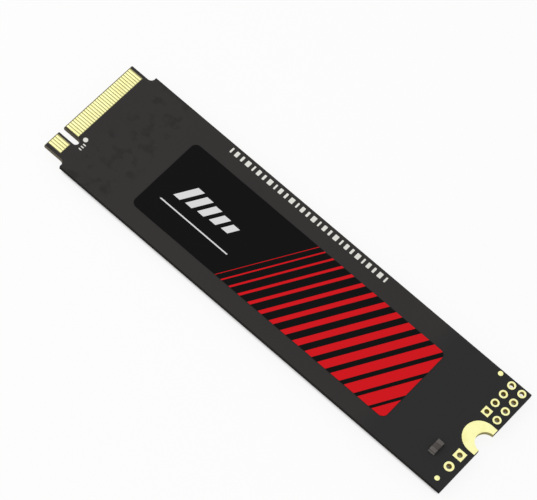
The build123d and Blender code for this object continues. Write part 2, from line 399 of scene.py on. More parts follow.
@dataclass(frozen=True)
class Laminate(Finish):
    """Routed board wall in layers of glass and resin.

    It is dark, but brown-grey on the tongue and olive in the screw notch, where the olive is the wall's gold
    plating painted flat as it looks in shade.
    """

    side: Colour = srgb(29, 27, 25)
    tongue: Colour = srgb(112, 105, 90)
    # Painted shade on the plated notch wall: a flat olive for its gold as it looks in shade.
    notch: Colour = srgb(190, 180, 125)
    tongue_end: float = -36.0
    notch_centre: Spot = (40.0, 0.0)
    notch_reach: float = 1.8
    layer_pitch: float = 0.2
    layer_share: float = 0.12
    fibre_stretch: Triple = (0.3, 0.3, 1.0)
    fibre_grain: float = 0.12
    fibre_share: float = 0.35
    relief_depth: float = 0.01
    roughness: float = 0.75
    spread: float = 0.15
    gloss: float = 0.06

    def make(self, surface: Surface) -> Material:
        """Builds the wall.

        Args:
            surface: An empty surface.

        Returns:
            The material.
        """
        at = surface.place()
        x, y, z = surface.axes(at)
        fibres = surface.noise(surface.stretched(at, self.fibre_stretch), self.fibre_grain, FINE_DETAIL)
        shade = fibres * self.fibre_share + z.wave(self.layer_pitch) * self.layer_share
        colour = surface.mix(x < self.tongue_end, self.side, self.tongue)
        # The screw notch's wall gets the painted shade of its gold plating.
        colour = surface.mix(distance(x, y, self.notch_centre) < self.notch_reach, colour, self.notch)
        return surface.finish(
            Base_Color=surface.mix(shade, colour, self.side),
            Roughness=fibres.varied(self.roughness, self.spread),
            Specular_IOR_Level=self.gloss,
            Normal=surface.relief(fibres, self.relief_depth),
        )


@dataclass(frozen=True)
class Metal(Finish):
    """Plated or soldered metal with a slight cloud in its colour and polish."""

    colour: Colour
    cloud: Colour
    cloud_grain: float = 1.5
    cloud_edge: Span = (0.35, 0.75)
    roughness: float = 0.34
    spread: float = 0.12
    brushed: Triple = (1.0, 1.0, 1.0)
    relief_grain: float = 0.06
    relief_depth: float = 0.001

    def make(self, surface: Surface) -> Material:
        """Builds the metal.

        Args:
            surface: An empty surface.

        Returns:
            The material.
        """
        at = surface.place()
        marks = surface.noise(surface.stretched(at, self.brushed), self.relief_grain, FINE_DETAIL)
        colour, metallic = self.plating(surface, at)
        return surface.finish(
            Base_Color=colour,
            Metallic=metallic,
            Roughness=marks.varied(self.roughness, self.spread),
            Normal=surface.relief(marks, self.relief_depth),
        )

    def plating(self, surface: Surface, at: Shade) -> tuple[Shade, Term]:
        """The metal's colour at a point, and how metallic it is there."""
        cloud = surface.noise(at, self.cloud_grain).eased(*self.cloud_edge)
        return surface.mix(cloud, self.colour, self.cloud), 1.0


@dataclass(frozen=True)
class HoleGold(Metal):
    """Gold pads whose plated barrels are painted dark brown and not metallic: painted shade inside the
    holes.
    """

    # Painted shade: the dark brown that the barrel walls take, for the shade inside the holes.
    barrel: Colour = srgb(160, 130, 10)

    def plating(self, surface: Surface, at: Shade) -> tuple[Shade, Term]:
        """Gold, but with painted shade in the barrels between the board's two faces.

        Args:
            surface: The surface.
            at: The point.

        Returns:
            The colour, and how metallic it is.
        """
        gold, _ = super().plating(surface, at)
        low, high = corners(BOARD)
        inside = surface.axes(at)[2].between(low.z, high.z)
        # The barrels between the board's faces get the painted shade and lose their metal.
        return surface.mix(inside, gold, self.barrel), 1 - inside


@dataclass(frozen=True)
class LabelPrint(Finish):
    """Black film with slanted red bars that widen towards one end, and plain white blocks and a rule."""

    film: Colour = srgb(18, 18, 18)
    red: Colour = srgb(222, 26, 34)
    white: Colour = srgb(232, 232, 232)
    middle_y: float = -0.52
    slant: float = 0.55
    bars_start: float = -3.0
    bars_end: float = 31.0
    bars: int = 15
    growth: float = 0.8
    thin_share: float = 0.15
    thick_share: float = 0.86
    block_start: float = -19.5
    block_pitch: float = 2.1
    blocks: int = 5
    block_share: float = 0.62
    block_height: float = 3.6
    block_step: float = 0.45
    rule_y: float = -3.6
    rule_end: float = -6.0
    rule_width: float = 0.22
    grain: float = 0.05
    relief_depth: float = 0.0008
    roughness: float = 0.44
    spread: float = 0.08
    bar_polish: float = 0.06
    gloss: float = 0.03

    def make(self, surface: Surface) -> Material:
        """Builds the film and its print.

        Args:
            surface: An empty surface.

        Returns:
            The material.
        """
        at = surface.place()
        x, y, _ = surface.axes(at)
        across = y - self.middle_y
        along = x - across * self.slant
        grain = surface.noise(at, self.grain)
        red = self.red_bars(along)
        white = self.white_blocks(along, across).either(self.rule(along, across))
        return surface.finish(
            Base_Color=surface.mix(white, surface.mix(red, self.film, self.red), self.white),
            Roughness=grain.varied(self.roughness, self.spread) - self.bar_polish * red,
            Specular_IOR_Level=self.gloss,
            Normal=surface.relief(grain, self.relief_depth),
        )

    def red_bars(self, along: Shade) -> Shade:
        """The bars, whose pitch and share of it both grow along the label.

        Args:
            along: The way along the label, with its slant.

        Returns:
            Their mask.
        """
        way = (along - self.bars_start) / (self.bars_end - self.bars_start)
        count = (way.either(0.0) ** self.growth) * self.bars
        share = self.thin_share + (self.thick_share - self.thin_share) * way
        return (count.fraction() < share) * (way > 0.0)

    def white_blocks(self, along: Shade, across: Shade) -> Shade:
        """A row of slanted blocks, each lower than the one before.

        Args:
            along: The way along the label, with its slant.
            across: The way across it, from its middle.

        Returns:
            Their mask.
        """
        count = (along - self.block_start) / self.block_pitch
        half = (self.block_height - self.block_step * count.whole()) / 2
        inside = count.between(0.0, float(self.blocks)) * (count.fraction() < self.block_share)
        return inside * (abs(across) < half)

    def rule(self, along: Shade, across: Shade) -> Shade:
        """Mask of one thin rule under the blocks."""
        long = along.between(self.block_start, self.rule_end)
        return long * (abs(across - self.rule_y) < self.rule_width / 2)


@dataclass(frozen=True)
class Mould(Finish):
    """Matt black mould compound on a thin laminate carrier, with a first-pin dot."""

    dot_place: Spot
    carrier_start: float
    dot_radius: float = 0.45
    dot_fade: float = 0.04
    colour: Colour = srgb(38, 38, 39)
    fleck: Colour = srgb(58, 58, 60)
    carrier: Colour = srgb(40, 52, 40)
    dot: Colour = srgb(120, 120, 118)
    grain: float = 0.09
    fleck_edge: Span = (0.5, 0.75)
    relief_depth: float = 0.004
    roughness: float = 0.62
    spread: float = 0.2
    gloss: float = 0.3

    def make(self, surface: Surface) -> Material:
        """Builds the compound.

        Args:
            surface: An empty surface.

        Returns:
            The material.
        """
        at = surface.place()
        x, y, z = surface.axes(at)
        grain = surface.noise(at, self.grain, FINE_DETAIL)
        flecked = surface.mix(grain.eased(*self.fleck_edge), self.colour, self.fleck)
        dot = 1 - distance(x, y, self.dot_place).eased(self.dot_radius - self.dot_fade, self.dot_radius)
        colour = surface.mix(dot, flecked, self.dot)
        return surface.finish(
            Base_Color=surface.mix(z > self.carrier_start, colour, self.carrier),
            Roughness=grain.varied(self.roughness, self.spread),
            Specular_IOR_Level=self.gloss,
            Normal=surface.relief(grain, self.relief_depth),
        )


@dataclass(frozen=True)
class Speckled(Finish):
    """Fired or pressed material with fine specks."""

    colour: Colour
    speck: Colour
    grain: float = 0.08
    speck_edge: Span = (0.45, 0.75)
    roughness: float = 0.55
    spread: float = 0.15
    gloss: float = 0.3
    relief_depth: float = 0.003

    def make(self, surface: Surface) -> Material:
        """Builds the material.

        Args:
            surface: An empty surface.

        Returns:
            The material.
        """
        grain = surface.noise(surface.place(), self.grain, FINE_DETAIL)
        return surface.finish(
            Base_Color=surface.mix(grain.eased(*self.speck_edge), self.colour, self.speck),
            Roughness=grain.varied(self.roughness, self.spread),
            Specular_IOR_Level=self.gloss,
            Normal=surface.relief(grain, self.relief_depth),
        )


MASK = SolderMask("satin_solder_mask")
WALL = Laminate("routed_laminate")
GOLD = Metal("gold_plating", srgb(251, 249, 182), srgb(246, 241, 170), brushed=(0.15, 1.0, 1.0))
HOLE_GOLD = HoleGold("hole_gold", GOLD.colour, GOLD.cloud)
PRINT = LabelPrint("label_print")
INK = Speckled("white_ink", srgb(238, 238, 230), srgb(222, 222, 214), grain=0.05, roughness=0.6)
TIN = Metal("matt_tin", srgb(196, 196, 192), srgb(170, 170, 166), roughness=0.42)
DULL_TIN = Speckled("dull_tin", srgb(90, 86, 83), srgb(100, 96, 92), grain=0.15)
DULL_SOLDER = Speckled("dull_solder", srgb(100, 96, 92), srgb(112, 108, 103), grain=0.15)
SOLDER = Metal("bright_solder", srgb(200, 202, 204), srgb(176, 178, 182), roughness=0.26)
LID = Metal("bright_lid", srgb(214, 210, 196), srgb(196, 190, 172), roughness=0.3, brushed=(1.0, 0.1, 1.0))
TAN = Speckled("tan_ceramic", srgb(146, 118, 88), srgb(124, 98, 70))
GLAZE = Speckled("black_glaze", srgb(26, 26, 28), srgb(36, 36, 38), roughness=0.25, gloss=0.5)
GREY_BROWN = Speckled("grey_brown_mould", srgb(74, 68, 65), srgb(62, 58, 56), grain=0.15)
FERRITE = Speckled("pressed_ferrite", srgb(74, 74, 78), srgb(58, 58, 62), roughness=0.7)
DARK_CERAMIC = Speckled("dark_ceramic", srgb(64, 58, 54), srgb(52, 48, 46))


@dataclass(frozen=True)
class Block:
    """The box round one solid of a CAD node, the radius left open in it, and whether it is square."""

    low: Vector
    high: Vector
    bore: float
    square: bool

    @property
    def centre(self) -> Vector:
        """The box's middle."""
        return (self.low + self.high) / 2

    @property
    def size(self) -> Vector:
        """The box's length, width and height."""
        return self.high - self.low


@dataclass(frozen=True)
class Place:
    """A spot for one copy of a shape, turned about Z by an angle in radians."""

    at: Vector
    turn: float = 0.0


def merged(node: str) -> BMesh:
    """Copies a CAD node's mesh.

    Args:
        node: The node's name.

    Returns:
        The copy, with its loose triangles joined.
    """
    shape = bmesh.new()
    shape.from_mesh(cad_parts[node].data)
    bmesh.ops.scale(shape, vec=(1 / MM,) * 3, verts=shape.verts)
    bmesh.ops.remove_doubles(shape, verts=shape.verts, dist=WELD)
    return shape


def block_of(points: Sequence[Vector]) -> Block:
    """Measures one solid.

    Args:
        points: The solid's corners.

    Returns:
        Its box, which is square where a point lies in one of the box's upright edges.
    """
    low = Vector(min(p[i] for p in points) for i in range(3))
    high = Vector(max(p[i] for p in points) for i in range(3))
    middle, half = ((low + high) / 2).to_2d(), ((high - low) / 2).to_2d()
    offsets = [p.to_2d() - middle for p in points]
    square = any(abs(abs(o.x) - half.x) < WELD and abs(abs(o.y) - half.y) < WELD for o in offsets)
    return Block(low, high, min(o.length for o in offsets), square)


def blocks(node: str) -> list[Block]:
    """Finds a CAD node's separate solids.

    Args:
        node: The node's name.

    Returns:
        Their boxes, in the order of their first corners.
    """
    shape = merged(node)
    seen: set[BMVert] = set()
    found = []
    for first in shape.verts:
        if first in seen:
            continue
        seen.add(first)
        reach = [first]
        for corner in reach:
            fresh = {edge.other_vert(corner) for edge in corner.link_edges} - seen
            seen |= fresh
            reach += fresh
        found.append(block_of([corner.co.copy() for corner in reach]))
    shape.free()
    return found


def mesh_of(shape: BMesh, name: str) -> Mesh:
    """Writes a shape in millimetres as a mesh in metres, and frees it.

    Args:
        shape: The shape.
        name: The mesh's name.

    Returns:
        The mesh.
    """
    bmesh.ops.scale(shape, vec=(MM,) * 3, verts=shape.verts)
    mesh = bpy.data.meshes.new(name)
    shape.to_mesh(mesh)
    shape.free()
    return mesh


def placed(name: str, data: bpy.types.ID) -> Object:
    """Puts a new object in the scene.

    Args:
        name: The object's name.
        data: Its mesh, lamp or camera.

    Returns:
        The object.
    """
    item = bpy.data.objects.new(name, data)
    bpy.context.scene.collection.objects.link(item)
    return item


def holder_of(mesh: Mesh) -> Object:
    """A passing object that carries modifiers."""
    return placed(f"{mesh.name}_holder", mesh)


def evaluated(holder: Object) -> Mesh:
    """Applies an object's modifiers. The object goes.

    Args:
        holder: The object.

    Returns:
        The mesh that they give.
    """
    ready = bpy.context.evaluated_depsgraph_get()
    mesh = bpy.data.meshes.new_from_object(holder.evaluated_get(ready), depsgraph=ready)
    bpy.data.objects.remove(holder)
    return mesh


def plain(holder: Object, edge_break: float = 0.0) -> Mesh:
    """Turns an object with modifiers into a smooth-shaded mesh. The object goes.

    Args:
        holder: The object.
        edge_break: Rounding of its sharp edges, if any.

    Returns:
        The mesh, with its flat faces shaded flat beside the rounded edges.
    """
    if edge_break:
        bevel = holder.modifiers.new("edge break", "BEVEL")
        bevel.width = edge_break * MM
        bevel.segments = EDGE_SEGMENTS
        bevel.limit_method = "ANGLE"
        bevel.angle_limit = SHARP_ANGLE
    mesh = evaluated(holder)
    mesh.shade_smooth()
    mesh.set_sharp_from_angle(angle=SHARP_ANGLE)
    if not edge_break:
        return mesh
    holder = holder_of(mesh)
    holder.modifiers.new("flat faces", "WEIGHTED_NORMAL").keep_sharp = True
    return evaluated(holder)


def softened(node: str, edge_break: float) -> Mesh:
    """Copies a CAD node with rounded edges.

    Args:
        node: The node's name.
        edge_break: Rounding of its sharp edges.

    Returns:
        The mesh.
    """
    shape = merged(node)
    bmesh.ops.dissolve_limit(shape, angle_limit=FLAT_ANGLE, verts=shape.verts, edges=shape.edges)
    return plain(holder_of(mesh_of(shape, node)), edge_break)


def joined(name: str, meshes: Sequence[Mesh]) -> Mesh:
    """Joins meshes that share a material.

    Args:
        name: The new mesh's name.
        meshes: The meshes.

    Returns:
        One mesh.
    """
    shape = bmesh.new()
    for mesh in meshes:
        shape.from_mesh(mesh)
    whole = bpy.data.meshes.new(name)
    shape.to_mesh(whole)
    shape.free()
    for material in meshes[0].materials:
        whole.materials.append(material)
    return whole


def piece(
    name: str, mesh: Mesh, slot: Slot, finishes: Sequence[Finish] = (), stands_for: Sequence[str] = ()
) -> Object:
    """Puts a finished mesh on the card.

    Args:
        name: The piece's name.
        mesh: Its mesh, in the card's frame.
        slot: Not used.
        finishes: Materials to add to the mesh, in order.
        stands_for: CAD nodes that the piece replaces.

    Returns:
        The new object.
    """
    item = placed(name, mesh)
    for finish in finishes:
        mesh.materials.append(finish.material())
    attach(item, BODY)
    if stands_for:
        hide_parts(*stands_for)
    return item


def points_mesh(places: Sequence[Place]) -> Mesh:
    """Makes a mesh of points with their turns.

    Args:
        places: Where copies go.

    Returns:
        The mesh.
    """
    mesh = bpy.data.meshes.new("places")
    mesh.from_pydata([place.at * MM for place in places], [], [])
    turns = mesh.attributes.new("turn", "FLOAT", "POINT")
    turns.data.foreach_set("value", [place.turn for place in places])
    return mesh


def lines_mesh(lines: Sequence[tuple[Vector, Vector]]) -> Mesh:
    """Makes a mesh of straight lines.

    Args:
        lines: The two ends of each.

    Returns:
        The mesh.
    """
    mesh = bpy.data.meshes.new("lines")
    ends = [end * MM for line in lines for end in line]
    mesh.from_pydata(ends, [(i, i + 1) for i in range(0, len(ends), 2)], [])
    return mesh


class Maker(Graph):
    """A Geometry Nodes tree with named sizes, run once to give a plain mesh."""

    def __init__(self, name: str, sizes: Sequence[str], takes_shape: bool = False) -> None:
        """Starts the tree.

        Args:
            name: The tree's name.
            sizes: Names of its inputs, each a length.
            takes_shape: Whether it also takes an object to copy.
        """
        super().__init__(bpy.data.node_groups.new(name, "GeometryNodeTree"))
        kinds = {"Start": "Geometry", **dict.fromkeys(sizes, "Float"), "Finish": "Material"}
        if takes_shape:
            kinds["Shape"] = "Object"
        add = self.tree.interface.new_socket
        self.keys = {
            label: add(label, in_out="INPUT", socket_type=f"NodeSocket{kind}").identifier
            for label, kind in kinds.items()
        }
        add("Result", in_out="OUTPUT", socket_type="NodeSocketGeometry")
        self.entry = self.node("NodeGroupInput")

    def given(self, label: str) -> Shade:
        """One of the tree's inputs."""
        return self.entry.beside(label)

    def sides(self, *labels: str) -> Shade:
        """Three of the inputs as a vector."""
        return self.node("ShaderNodeCombineXYZ", {}, dict(enumerate(map(self.given, labels))))

    def rectangle(self, width: str, height: str) -> Shade:
        """A rectangle as wide and as high as two of the inputs."""
        size = {"Width": self.given(width), "Height": self.given(height)}
        return self.node("GeometryNodeCurvePrimitiveQuadrilateral", {}, size)

    def end(self, result: Shade) -> None:
        """Makes the instances real, sets the finish and ends the tree.

        Args:
            result: What the tree has made.
        """
        real = self.node("GeometryNodeRealizeInstances", {}, {"Geometry": result})
        finish = self.given("Finish")
        dressed = self.node("GeometryNodeSetMaterial", {}, {"Geometry": real, "Material": finish})
        self.node("NodeGroupOutput", {}, {"Result": dressed})

    def spread(self, shape: Shade) -> None:
        """Ends the tree with a copy of a shape on each point, turned by the point's own angle.

        Args:
            shape: The shape.
        """
        turn = self.node("GeometryNodeInputNamedAttribute", {"data_type": "FLOAT"}, {"Name": "turn"})
        rotation = self.node("ShaderNodeCombineXYZ", {}, {"Z": turn})
        points = {"Points": self.given("Start"), "Instance": shape, "Rotation": rotation}
        self.end(self.node("GeometryNodeInstanceOnPoints", {}, points))

    def run(
        self,
        start: Mesh,
        finish: Finish,
        edge_break: float = 0.0,
        shape: Object | None = None,
        **sizes: float,
    ) -> Mesh:
        """Runs the tree.

        Args:
            start: The points or lines that it works on.
            finish: The finish of what it makes.
            edge_break: Rounding of the sharp edges, if any.
            shape: The object to copy, where the tree takes one.
            sizes: The tree's named inputs.

        Returns:
            The finished mesh.
        """
        holder = holder_of(start)
        nodes = holder.modifiers.new("make", "NODES")
        nodes.node_group = self.tree
        for label, length in sizes.items():
            nodes[self.keys[label]] = length * MM
        nodes[self.keys["Finish"]] = finish.material()
        if shape:
            nodes[self.keys["Shape"]] = shape
        mesh = plain(holder, edge_break)
        mesh.materials.clear()
        mesh.materials.append(finish.material())
        mesh.polygons.foreach_set("material_index", [0] * len(mesh.polygons))
        return mesh


def plate_maker(corner_points: int = 5) -> Maker:
    """Makes the tree of flat plates with rounded corners, which stand on their points.

    Args:
        corner_points: Points of each corner's arc.

    Returns:
        The tree.
    """
    maker = Maker("plates", ("Length", "Width", "Thickness", "Corner"))
    outline = maker.rectangle("Length", "Width")
    bend = {"Curve": outline, "Count": corner_points, "Radius": maker.given("Corner"), "Limit Radius": True}
    rounded = maker.node("GeometryNodeFilletCurve", {"mode": "POLY"}, bend)
    face = maker.node("GeometryNodeFillCurve", {"mode": "NGONS"}, {"Curve": rounded})
    rise = {"Mesh": face, "Offset Scale": maker.given("Thickness"), "Individual": False}
    raised = maker.node("GeometryNodeExtrudeMesh", {}, rise)
    under = maker.node("GeometryNodeFlipFaces", {}, {"Mesh": face})
    both = maker.node("GeometryNodeJoinGeometry", {}, {0: raised})
    maker.feed(both.node.inputs[0], under)
    maker.spread(maker.node("GeometryNodeMergeByDistance", {}, {"Geometry": both, "Distance": WELD * MM}))
    return maker


def ball_maker(segments: int = 12, rings: int = 8) -> Maker:
    """Makes the tree of flattened solder balls, centred on their points.

    Args:
        segments: Sides round each ball.
        rings: Rows from pole to pole.

    Returns:
        The tree.
    """
    maker = Maker("balls", ("Width", "Height"))
    unit_ball = {"Segments": segments, "Rings": rings, "Radius": 0.5}
    ball = maker.node("GeometryNodeMeshUVSphere", {}, unit_ball)
    size = {"Geometry": ball, "Scale": maker.sides("Width", "Width", "Height")}
    maker.spread(maker.node("GeometryNodeTransform", {}, size))
    return maker


def mound_maker(segments: int = 16) -> Maker:
    """Makes the tree of low round mounds, which stand on their points.

    Args:
        segments: Sides round each mound.

    Returns:
        The tree.
    """
    maker = Maker("mounds", ("Foot", "Top", "Height"))
    cone = {
        "Vertices": segments,
        "Radius Top": maker.given("Top"),
        "Radius Bottom": maker.given("Foot"),
        "Depth": maker.given("Height"),
    }
    maker.spread(maker.node("GeometryNodeMeshCone", {}, cone))
    return maker


def box_maker() -> Maker:
    """Makes the tree of boxes, centred on their points.

    Returns:
        The tree.
    """
    maker = Maker("boxes", ("Length", "Width", "Height"))
    maker.spread(maker.node("GeometryNodeMeshCube", {}, {"Size": maker.sides("Length", "Width", "Height")}))
    return maker


def copy_maker() -> Maker:
    """Makes the tree of copies of a shape, with its own origin on each point.

    Returns:
        The tree.
    """
    maker = Maker("copies", (), takes_shape=True)
    maker.spread(maker.node("GeometryNodeObjectInfo", {}, {"Object": maker.given("Shape")}, "Geometry"))
    return maker


def ridge_maker() -> Maker:
    """Makes the tree of flat ridges along lines.

    Returns:
        The tree.
    """
    maker = Maker("ridges", ("Width", "Height"))
    line = maker.node("GeometryNodeMeshToCurve", {}, {"Mesh": maker.given("Start")})
    upright = maker.node("GeometryNodeSetCurveNormal", {"mode": "Z_UP"}, {"Curve": line})
    sweep = {"Curve": upright, "Profile Curve": maker.rectangle("Width", "Height"), "Fill Caps": True}
    maker.end(maker.node("GeometryNodeCurveToMesh", {}, sweep))
    return maker


PLATES = plate_maker()
BALLS = ball_maker()
MOUNDS = mound_maker()
BOXES = box_maker()
COPIES = copy_maker()
RIDGES = ridge_maker()


@dataclass
class SubAssembly(ABC):
    """A group of pieces that is built and dressed together."""

    meshes: dict[str, Mesh] = field(default_factory=dict, init=False)

    @abstractmethod
    def build(self) -> None:
        """Makes the meshes."""

    @abstractmethod
    def dress(self) -> list[Object]:
        """Puts the pieces on the card with their finishes."""


@dataclass
class Board(SubAssembly):
    """The circuit board: masked faces, bare walls, and what shows through the mask."""

    edge_break: float = 0.03
    wall_slope: float = 0.75
    trace_width: float = 0.16
    trace_height: float = 0.006
    trace_runs: tuple[float, ...] = (1.5, 2.3, 3.1, 3.9)
    via_height: float = 0.008
    via_foot: float = 0.24
    via_top: float = 0.15

    def build(self) -> None:
        """Makes the board and the low relief of traces and vias on both faces."""
        self.meshes["board"] = softened(BOARD, self.edge_break)
        self.meshes |= {f"traces_{side.word}": self.fan_out(side) for side in Side}

    def fan_out(self, side: Side) -> Mesh:
        """Makes short traces from one side's contacts, each to a covered via.

        Args:
            side: The face that carries them.

        Returns:
            The relief's mesh.
        """
        low, high = corners(BOARD)
        face, foot = (high.z, high.z) if side is Side.LABEL else (low.z, low.z - self.via_height)
        middle = face + side.value * self.trace_height / 2
        traces, vias = [], []
        contacts = sorted(blocks(f"{side.word}_contacts"), key=lambda block: block.centre.y)
        for contact, run in zip(contacts, cycle(self.trace_runs)):
            x, y = contact.high.x, contact.centre.y
            traces.append((Vector((x, y, middle)), Vector((x + run - self.via_top, y, middle))))
            vias.append(Place(Vector((x + run, y, foot))))
        widths = (self.via_foot, self.via_top)[:: side.value]
        ridges = RIDGES.run(lines_mesh(traces), MASK, Width=self.trace_width, Height=self.trace_height)
        mounds = MOUNDS.run(points_mesh(vias), MASK, Foot=widths[0], Top=widths[1], Height=self.via_height)
        return joined("fan_out", [ridges, mounds])

    def dress(self) -> list[Object]:
        """Masks the faces and leaves the walls bare.

        Returns:
            The board and its reliefs.
        """
        board, *reliefs = self.meshes
        for face in self.meshes[board].polygons:
            face.material_index = int(abs(face.normal.z) < self.wall_slope)
        made = piece(board, self.meshes[board], Slot.SOLDER_MASK, (MASK, WALL), (BOARD,))
        return [made, *[piece(name, self.meshes[name], Slot.SOLDER_MASK) for name in reliefs]]


@dataclass
class Contacts(SubAssembly):
    """The edge contacts of one side: gold plates with rounded corners."""

    side: Side
    corner: float = 0.06
    edge_break: float = 0.012

    def build(self) -> None:
        """Makes a plate on each CAD contact."""
        contacts = blocks(f"{self.side.word}_contacts")
        places = [Place(Vector((b.centre.x, b.centre.y, b.low.z))) for b in contacts]
        sizes = dict(zip(("Length", "Width", "Thickness"), contacts[0].size), Corner=self.corner)
        self.meshes["plates"] = PLATES.run(points_mesh(places), GOLD, self.edge_break, **sizes)

    def dress(self) -> list[Object]:
        """Puts the contacts in place of the CAD ones."""
        name, node = f"gold_contacts_{self.side.word}", f"{self.side.word}_contacts"
        return [piece(name, self.meshes["plates"], Slot.CONTACT_GOLD, stands_for=(node,))]


@dataclass
class PlatedHoles(SubAssembly):
    """Plated holes: a lathed ring for each round pad, and a squared one for the first pad."""

    node: str
    name: str
    plating: float = 0.05
    edge_break: float = 0.02
    segments: int = 48

    def build(self) -> None:
        """Makes the rings on the CAD holes."""
        holes = blocks(self.node)
        made = []
        for square in (False, True):
            chosen = [hole for hole in holes if hole.square is square]
            ring = holder_of(self.lathed(self.section(chosen[0]), square))
            places = [Place(Vector((hole.centre.x, hole.centre.y, 0))) for hole in chosen]
            made.append(COPIES.run(points_mesh(places), HOLE_GOLD, shape=ring))
            bpy.data.objects.remove(ring)
        self.meshes["rings"] = joined(self.name, made)

    def section(self, hole: Block) -> list[tuple[float, float, bool]]:
        """Draws the section of a ring with both pads and the barrel.

        Args:
            hole: The CAD eyelet that gives its sizes.

        Returns:
            Radius and height of each corner in order, and whether it belongs to the pad's rim.
        """
        pad, bore, soft = hole.size.x / 2, hole.bore, self.edge_break
        low, high = (corner.z for corner in corners(BOARD))
        upper, lower = (
            [
                (pad, face, True),
                (pad, tip + inward, True),
                (pad - soft, tip, True),
                (bore + soft, tip, False),
                (bore, tip + inward, False),
                (bore, face, False),
            ]
            for face, tip, inward in ((high, hole.high.z, -soft), (low, hole.low.z, soft))
        )
        outer = bore + self.plating
        return [*upper, *reversed(lower), (outer, low, False), (outer, high, False)]

    def lathed(self, section: Sequence[tuple[float, float, bool]], square: bool) -> Mesh:
        """Turns a closed section about Z.

        Args:
            section: Radius and height of each corner, and whether it belongs to the pad's rim.
            square: Whether the rim is square, as wide as the radius says.

        Returns:
            The closed mesh.
        """
        shape = bmesh.new()
        rows = []
        for step in range(self.segments):
            angle = 2 * math.pi * step / self.segments
            way = Vector((math.cos(angle), math.sin(angle), 0))
            reach = 1 / max(abs(way.x), abs(way.y)) if square else 1.0
            spots = [way * radius * (reach if rim else 1) + Vector((0, 0, z)) for radius, z, rim in section]
            rows.append([shape.verts.new(spot) for spot in spots])
        for here, there in zip(rows, rows[1:] + rows[:1]):
            for i in range(len(section)):
                shape.faces.new((here[i - 1], there[i - 1], there[i], here[i]))
        bmesh.ops.recalc_face_normals(shape, faces=shape.faces)
        return mesh_of(shape, self.name)

    def dress(self) -> list[Object]:
        """Puts the rings in place of the CAD ones."""
        return [piece(self.name, self.meshes["rings"], Slot.CONTACT_GOLD, stands_for=(self.node,))]


@dataclass
class Label(SubAssembly):
    """The label: a thin film with round corners and a slightly uneven cut."""

    corner: float = 1.0
    corner_steps: int = 8
    side_step: float = 1.2
    waver: float = 0.035
    waver_length: float = 8.5
    waver_ratio: float = 1.7
    waver_lead: float = 1.0
    edge_break: float = 0.03

    def outline(self, low: Vector, high: Vector) -> list[Vector]:
        """Lays points round the film, a little in and out of its straight edges.

        Args:
            low: The film's lowest corner.
            high: Its highest corner.

        Returns:
            The points, in order.
        """
        middle, radius = (low + high) / 2, self.corner
        reach = (high - low) / 2 - Vector((radius, radius, 0))
        steps = [step / self.corner_steps for step in range(self.corner_steps + 1)]
        arcs = []
        for number, (x_way, y_way) in enumerate(((1, 1), (-1, 1), (-1, -1), (1, -1))):
            turn = Vector((middle.x + x_way * reach.x, middle.y + y_way * reach.y, low.z))
            angles = [math.pi / 2 * (number + step) for step in steps]
            arcs.append([turn + radius * Vector((math.cos(a), math.sin(a), 0)) for a in angles])
        around: list[Vector] = []
        for arc, after in zip(arcs, arcs[1:] + arcs[:1]):
            start, stop = arc[-1], after[0]
            count = int((stop - start).length / self.side_step)
            around += arc + [start.lerp(stop, i / count) for i in range(1, count)]
        return [self.wavered(point, middle) for point in around]

    def wavered(self, point: Vector, middle: Vector) -> Vector:
        """Pulls a rim point in by up to the waver.

        Args:
            point: The point.
            middle: The film's middle.

        Returns:
            The moved point.
        """
        angle = 2 * math.pi / self.waver_length
        swing = math.sin(point.x * angle) + math.sin(point.y * angle * self.waver_ratio + self.waver_lead)
        inward = Vector((math.copysign(1, middle.x - point.x), math.copysign(1, middle.y - point.y), 0))
        return point + inward * self.waver * (swing + 2) / 4

    def build(self) -> None:
        """Makes the film."""
        low, high = corners("label")
        shape = bmesh.new()
        under = shape.faces.new([shape.verts.new(point) for point in self.outline(low, high)])
        raised = bmesh.ops.extrude_face_region(shape, geom=[under])["geom"]
        tops = [item for item in raised if isinstance(item, BMVert)]
        bmesh.ops.translate(shape, vec=(0, 0, high.z - low.z), verts=tops)
        bmesh.ops.recalc_face_normals(shape, faces=shape.faces)
        self.meshes["film"] = plain(holder_of(mesh_of(shape, "label_film")), self.edge_break)

    def dress(self) -> list[Object]:
        """Prints the film and puts it in place of the CAD one."""
        return [piece("label_film", self.meshes["film"], Slot.LABEL_FILM, (PRINT,), ("label",))]


